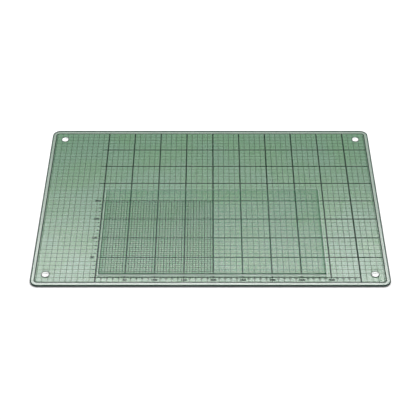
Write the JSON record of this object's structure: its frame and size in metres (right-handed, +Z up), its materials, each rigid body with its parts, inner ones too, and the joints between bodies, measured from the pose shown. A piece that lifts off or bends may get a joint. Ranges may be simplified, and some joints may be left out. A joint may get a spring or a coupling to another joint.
{
  "type": "self healing mat",
  "caption": "Flat translucent green cutting mat with a printed grid, rounded corners and corner hanging holes, and a smaller clear sheet lying loose on it.",
  "frame": {"origin": "middle of the mat's underside", "axes": "+X along the long side, +Y from the zero line towards the back, +Z up out of the working face"},
  "size_m": [0.61, 0.43, 0.0061],
  "materials": {
    "soft_sheet": "satin, translucent",
    "printed_film": "printed, matte",
    "hard_core": "satin, translucent",
    "loose_sheet": "satin, clear"
  },
  "bodies": {
    "mat": {"bottom_soft_sheet": "soft_sheet", "bottom_printed_film": "printed_film", "hard_core_sheet": "hard_core", "top_printed_film": "printed_film", "top_soft_sheet": "soft_sheet"},
    "loose_sheet": {"loose_clear_sheet": "loose_sheet"}
  },
  "joints": [
    {"name": "loose_sheet_lift", "type": "slide", "parent": "mat", "child": "loose_sheet", "axis": [0, 0, 1], "range_m": [0, 0.06]}
  ]
}
